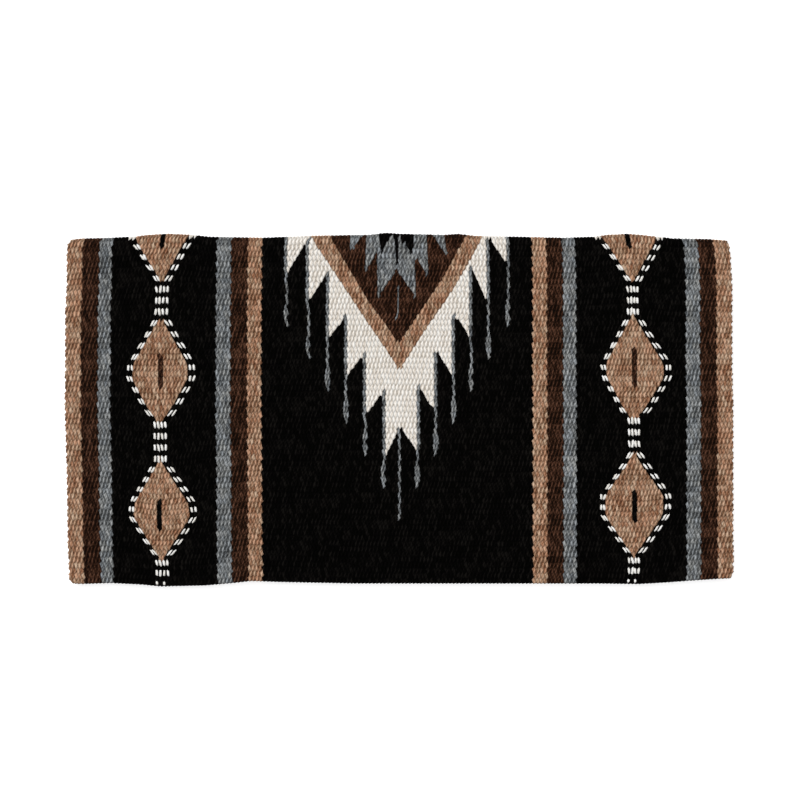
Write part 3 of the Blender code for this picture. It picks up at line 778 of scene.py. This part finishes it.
def shell(mesh, co, faces, uv, shown, tone, creased):
    """Fills a mesh with four-sided faces and dresses it."""
    mesh.vertices.add(len(co))
    mesh.vertices.foreach_set("co", co.astype(np.float32).ravel())
    mesh.loops.add(faces.size)
    mesh.loops.foreach_set("vertex_index", faces.astype(np.int32).ravel())
    mesh.polygons.add(len(faces))
    mesh.polygons.foreach_set("loop_start", np.arange(0, faces.size, 4, dtype=np.int32))
    mesh.update(calc_edges=True)
    dress(mesh, uv, shown, tone, creased)


def fill_mesh(piece, beads, face, back, flip):
    """The beads of one piece as a closed shell: its face, its back and a wall round its border. Gives the
    number of the bead that each face of the wall belongs to."""
    count = len(beads)
    keys, at = np.unique(rim_points(beads), return_inverse=True)
    rims = at.reshape(count, 8)
    total = len(keys)
    rim = (rim_across[keys], rim_along[keys], rim_height[keys])
    crown = crown_points(beads)
    co = np.concatenate([face(*rim), back(*rim), face(*crown), back(*crown)])
    own = np.arange(9 * count).reshape(count, 9)
    points = np.concatenate([rims, 2 * total + own], axis=1)
    points_back = np.concatenate([total + rims, 2 * total + 9 * count + own], axis=1)
    quads = points[:, BEAD_QUADS].reshape(-1, 4)
    quads_back = points_back[:, BEAD_QUADS[:, ::-1]].reshape(-1, 4)
    a = rims[:, RIM_LOOP]
    b = np.roll(a, -1, axis=1)
    number = np.repeat(np.arange(count), 8).reshape(count, 8)
    lone = ~np.isin(a * total + b, b * total + a)
    a, b, number = a[lone], b[lone], number[lone]
    walls = np.stack([b, a, total + a, total + b], axis=1)
    faces = np.concatenate([quads, quads_back, walls])
    owner = beads[np.concatenate([np.repeat(np.arange(count), 12)] * 2 + [number])]
    sides = (BEAD_QUADS, BEAD_QUADS[:, ::-1])
    u = [np.tile(POINT_U[quad].ravel(), count) for quad in sides]
    u = np.concatenate(u + [[0, 1, 1, 0] * len(walls)])
    v = [np.tile(POINT_V[quad].ravel(), count) for quad in sides]
    v = np.concatenate(v + [[0, 0, 1, 1] * len(walls)])
    # Each bead lies elsewhere on the yarn, so that no two show the same fibres.
    rib, gap = np.repeat(owner, 4, axis=0).T
    uv = np.stack([u + gap * 0.37, v * 0.7 + rib * 1.31], axis=1).reshape(-1, 4, 2)
    shown = np.concatenate([np.zeros(2 * total), np.tile(CROWN_UNSHADED, 2 * count)])
    way = -1 if flip else 1
    shell(
        piece.data,
        co,
        faces[:, ::way],
        uv[:, ::way],
        shown,
        yarn_tone[owner[:, 0], owner[:, 1] + 1],
        np.arange(len(co)) < 2 * total,
    )
    return number


for patch, pieces in woven:
    beads = np.array(sorted(key for key, owner in taken.items() if owner == patch and key[0] > 0))
    for piece, front in zip(pieces, (False, True)):
        fill_mesh(
            piece,
            beads,
            lambda x, s, h: lie(x, s, h, front, True),
            lambda x, s, h: lie(x, s, h, front, False),
            not front,
        )


# The white strokes of the outlines. Each is a spindle of thick white weft over one warp, sunk into the
# black wefts beside it, and it shows on both faces of the cloth.

STROKE_WIDTH = 0.0050
STROKE_LENGTH = 0.0102
STROKE_HEIGHT = 0.0037
STROKE_FOOT = 0.0021
STROKE_UNDERSIDE = 0.0019
UNEVEN_STROKE = 0.0002
UNEVEN_SLANT = 0.0006
stroke_rim = np.array(
    [(-0.75, -0.5), (0, -1), (0.75, -0.5), (1, 0), (0.75, 0.5), (0, 1), (-0.75, 0.5), (-1, 0)]
)
stroke_crown = np.array([(u, t) for t in (-0.55, 0, 0.55) for u in (-0.5, 0, 0.5)])
for side, laid in strokes.items():
    middle_rib, place, slant, tall = np.array(laid).T[:, :, None]
    place = place + chance.normal(0, UNEVEN_STROKE, place.shape)
    slant = slant + chance.normal(0, UNEVEN_SLANT, slant.shape)
    for flap, front in (("back", False), ("front", True)):
        co = []
        for outer in (True, False):
            for points, base, rise in (
                (stroke_rim, STROKE_FOOT, 0.0),
                (stroke_crown, STROKE_FOOT, STROKE_HEIGHT - STROKE_FOOT),
                (stroke_crown, STROKE_UNDERSIDE, 0.0),
            ):
                u, t = points.T
                along = t * STROKE_LENGTH / 2 * tall
                across_at = place + u * STROKE_WIDTH / 2 + slant * along / RIB_PITCH
                height = base + rise * np.sqrt((1 - u**2) * (1 - t**2)) + 0 * across_at
                along = middle_rib * RIB_PITCH + along
                co.append(lie(across_at.ravel(), along.ravel(), height.ravel(), front, outer))
        count = len(laid)
        faces = []
        starts = np.cumsum([0] + [len(group) for group in co])
        for k, way in ((0, 1), (3, -1)):
            rims, crowns, unders = (
                start + np.arange(count * size).reshape(count, size)
                for start, size in zip(starts[k:], (8, 9, 9))
            )
            above = np.concatenate([rims, crowns], axis=1)[:, BEAD_QUADS].reshape(-1, 4)
            below = np.concatenate([rims, unders], axis=1)[:, BEAD_QUADS].reshape(-1, 4)
            faces += [above[:, ::way], below[:, ::-way]]
        faces = np.concatenate(faces)
        uv = np.stack([POINT_U[BEAD_QUADS], POINT_V[BEAD_QUADS]], axis=2)
        uv = np.tile(uv, (4 * count, 1, 1)) + np.tile(np.repeat(np.arange(count) * 1.7, 12), 4)[:, None, None]
        shown = [np.zeros(8 * count), np.tile(CROWN_UNSHADED, count), np.zeros(9 * count)] * 2
        tone = np.tile(np.repeat(chance.random(count), 12), 4)
        name = f"{flap}_outline_strokes_{side}_weft"
        dots = bpy.data.objects.new(name, bpy.data.meshes.new("outline_strokes"))
        bpy.context.collection.objects.link(dots)
        dots.data.materials.append(dot_wool)
        shell(
            dots.data,
            np.concatenate(co),
            faces if front else faces[:, ::-1],
            uv,
            np.concatenate(shown),
            tone,
            np.zeros(starts[-1], dtype=bool),
        )
        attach(dots, f"{flap}_flap")
        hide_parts(f"{flap}_diamond_outline_{side}")


# The warps: on each flap one unbroken cord, laid back and forth inside its ribs, and a thicker one inside
# the last rib. They follow the cloth's waves, and one more run lies in the bend.

WARP_DIAMETER = 0.0024
SELVAGE_WARP_DIAMETER = 0.003
WARP_REACH = BLANKET_WIDTH / 2 - 0.0085
straight = np.linspace(-WARP_REACH, WARP_REACH, 45)
half_turn = np.radians([-60, -30, 0, 30, 60])


def warp_cord(node_name, x, s, diameter, body, front, outer=False):
    """A cord through the middle of the cloth that stands for a warp of the frame."""
    curve = bpy.data.curves.new(f"{node_name}_cord", "CURVE")
    curve.dimensions = "3D"
    curve.bevel_depth = diameter / 2
    curve.bevel_resolution = 1
    curve.use_fill_caps = True
    spline = curve.splines.new("POLY")
    route = lie(x, s, 0 * x, front, outer)
    spline.points.add(len(route) - 1)
    for point, place in zip(spline.points, route):
        point.co = (*place, 1)
    cord = bpy.data.objects.new(f"{node_name}_cord", curve)
    bpy.context.collection.objects.link(cord)
    curve.materials.append(cream_warp)
    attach(cord, body)
    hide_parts(node_name)


for flap, front in (("back", False), ("front", True)):
    xs = []
    rows = []
    for rib in range(1, RIBS):
        way = 1 if rib % 2 else -1
        xs += [straight * way, way * (WARP_REACH + RIB_PITCH / 2 * np.cos(half_turn))]
        rows += [0 * straight + rib, rib + 0.5 + 0.5 * np.sin(half_turn)]
    warp_cord(
        f"{flap}_warp",
        np.concatenate(xs[:-1]),
        np.concatenate(rows[:-1]) * RIB_PITCH,
        WARP_DIAMETER,
        f"{flap}_flap",
        front,
    )
    warp_cord(
        f"{flap}_selvage_warp",
        straight,
        0 * straight + RIBS * RIB_PITCH,
        SELVAGE_WARP_DIAMETER,
        f"{flap}_flap",
        front,
    )
warp_cord("spine_warp", straight, 0 * straight, WARP_DIAMETER, "spine", True, True)


# The fold: the one rib that lies right on the bend. It is in two halves, one to each flap's side, with all
# the colours that cross it.

fold_wools = [tan_wool, brown_wool, grey_wool, black_wool, white_wool]
FOLD_COLOURS = {"tan": 0, "spine_diamond": 0, "brown": 1, "grey": 2, "drip": 2, "white": 4, "outline": 4}
BLACK = 3
wool_of = {}
for (rib, gap), patch in taken.items():
    if rib == 0:
        wool_of[gap] = next((FOLD_COLOURS[word] for word in FOLD_COLOURS if word in patch), BLACK)
fold_gaps = sorted(wool_of)
beads = np.array([(0, gap) for gap in fold_gaps])
bend_end = 0.5 * RIB_PITCH / BEND_RADIUS
for half, front in (("lower", False), ("upper", True)):
    keys, at = np.unique(rim_points(beads)[:, 3:8], return_inverse=True)
    rims = at.reshape(len(beads), 5)
    total = len(keys)
    rim = (rim_across[keys], rim_along[keys], rim_height[keys])
    crown = [part.reshape(-1, 9)[:, 3:].ravel() for part in crown_points(beads)]
    under = (rim[0], rim[1], rim[2] * 0)
    co = np.concatenate([lie(*group, front, True) for group in (rim, under, crown)])
    faces = []
    kinds = []
    rows = []
    for k, gap in enumerate(fold_gaps):
        right, low_right, low_mid, low_left, left = (int(v) for v in rims[k])
        a1, a2, a3, b1, b2, b3 = (2 * total + 6 * k + v for v in range(6))
        made = [
            (low_left, b1, a1, left),
            (b1, b2, a2, a1),
            (b2, b3, a3, a2),
            (b3, low_right, right, a3),
            (low_left, low_mid, b2, b1),
            (low_mid, low_right, b3, b2),
            (left, a1, a2, a3, right, total + right, total + left),
            (low_mid, low_left, total + low_left, total + low_mid),
            (low_right, low_mid, total + low_mid, total + low_right),
            tuple(total + v for v in (left, right, low_right, low_mid, low_left)),
        ]
        if k == 0:
            made.append((low_left, left, total + left, total + low_left))
        if k == len(fold_gaps) - 1:
            made.append((right, low_right, total + low_right, total + right))
        faces += made if front else [face[::-1] for face in made]
        kinds += [wool_of[gap]] * len(made)
        rows += [k] * len(made)
    name = f"fold_{half}_weft"
    mesh = bpy.data.meshes.new(name)
    mesh.from_pydata([tuple(p) for p in co], [], faces)
    for wool in fold_wools:
        mesh.materials.append(wool)
    mesh.polygons.foreach_set("material_index", kinds)
    spots = np.empty(len(mesh.loops), dtype=np.int32)
    mesh.loops.foreach_get("vertex_index", spots)
    uv = np.stack([co[spots, 0] / BEAD, (co[spots, 2] - STACK_HEIGHT / 2) / CLOTH_THICKNESS], axis=1)
    shown = np.concatenate([np.zeros(2 * total), np.tile(CROWN_UNSHADED[3:], len(beads))])
    dress(mesh, uv, shown, yarn_tone[0, beads[rows][:, 1] + 1], np.arange(len(co)) < 2 * total)
    piece = bpy.data.objects.new(name, mesh)
    bpy.context.collection.objects.link(piece)
    rise = BEND_RADIUS * math.sin(bend_end) * (1 if front else -1)
    if front:
        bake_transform(piece)
    else:
        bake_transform(piece)
    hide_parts("spine_fold")


# The inner face of the same rib, which shows when the blanket lies open. Its wefts are those of the outer
# face, and it rides on the spine without bending.

INNER_DEPTH = 0.0030
INNER_SHARE = 0.9
DRAWN_BACK = -0.0015
inner = bpy.data.objects.new("fold_inner_weft", bpy.data.meshes.new("fold_inner_weft"))
bpy.context.collection.objects.link(inner)
for wool in fold_wools:
    inner.data.materials.append(wool)


def stand(x, s, depth):
    """A point of the inner face, which stands upright in the fold at some depth from the fold's line. It
    draws back less than the fold does."""
    aside, up = settle(x, np.abs(s))
    y = FOLD_LINE + depth + np.maximum(up, DRAWN_BACK)
    return np.stack([x + aside, y, STACK_HEIGHT / 2 - s * INNER_SHARE], axis=1)


wall_beads = fill_mesh(
    inner,
    beads,
    lambda x, s, h: stand(x, s, BEND_RADIUS - h),
    lambda x, s, h: stand(x, s, INNER_DEPTH + 0 * h),
    False,
)
kinds = np.array([wool_of[gap] for gap in fold_gaps])
kinds = np.concatenate([np.repeat(kinds, 12)] * 2 + [kinds[wall_beads]])
inner.data.polygons.foreach_set("material_index", kinds.astype(np.int32))
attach(inner, "spine")
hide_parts("spine_fold")


# The floor: a seamless white studio table that keeps the blanket's soft shadow, one large soft lamp from
# the upper left and an even sky, and a camera straight above, as in the photo.

bpy.ops.object.select_all(action="DESELECT")
bpy.ops.mesh.primitive_plane_add(size=12, location=(0, 0, 0))
floor = bpy.context.object
floor.name = "studio_table"
paper = bpy.data.materials.new("matt_white_table")
paper.use_nodes = True
tree = paper.node_tree
shader = tree.nodes["Principled BSDF"]
shader.inputs["Base Color"].default_value = (*linear("e6e6e6"), 1)
shader.inputs["Roughness"].default_value = 0.9


def seen_directly(tree, lit, seen):
    """A strength for what the camera sees, itself or in a mirror, and another for what lights the rest."""
    path = node(tree, "LightPath").outputs
    eye = node(tree, "Math", {0: path["Is Camera Ray"], 1: path["Is Glossy Ray"]}, operation="MAXIMUM")
    eye = node(tree, "Math", {0: eye.outputs[0], 1: path["Is Transmission Ray"]}, operation="MAXIMUM")
    return node(tree, "MapRange", {"Value": eye.outputs[0], "To Min": lit, "To Max": seen}).outputs["Result"]


tree.links.new(seen_directly(tree, 0.0, 0.68), shader.inputs["Emission Strength"])
shader.inputs["Emission Color"].default_value = (1, 1, 1, 1)
floor.data.materials.append(paper)
floor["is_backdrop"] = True

world = bpy.data.worlds.new("even_sky")
bpy.context.scene.world = world
world.use_nodes = True
sky = world.node_tree.nodes["Background"]
sky.inputs["Color"].default_value = (1, 1, 1, 1)
world.node_tree.links.new(seen_directly(world.node_tree, 0.5, 1.0), sky.inputs["Strength"])

lamp_data = bpy.data.lights.new("soft_lamp", "SUN")
lamp_data.energy = 2.15
lamp_data.angle = math.radians(20)
lamp = bpy.data.objects.new("soft_lamp", lamp_data)
lamp.rotation_euler = (math.radians(-32), math.radians(-28), 0)
bpy.context.collection.objects.link(lamp)

camera_data = bpy.data.cameras.new("photo_camera")
camera_data.lens = 85
camera_data.sensor_width = 36
camera = bpy.data.objects.new("photo_camera", camera_data)
camera.location = (0, 0.0151, 2.4715)
bpy.context.collection.objects.link(camera)
bpy.context.scene.camera = camera
bpy.context.scene.view_settings.view_transform = "Standard"

low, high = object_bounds()
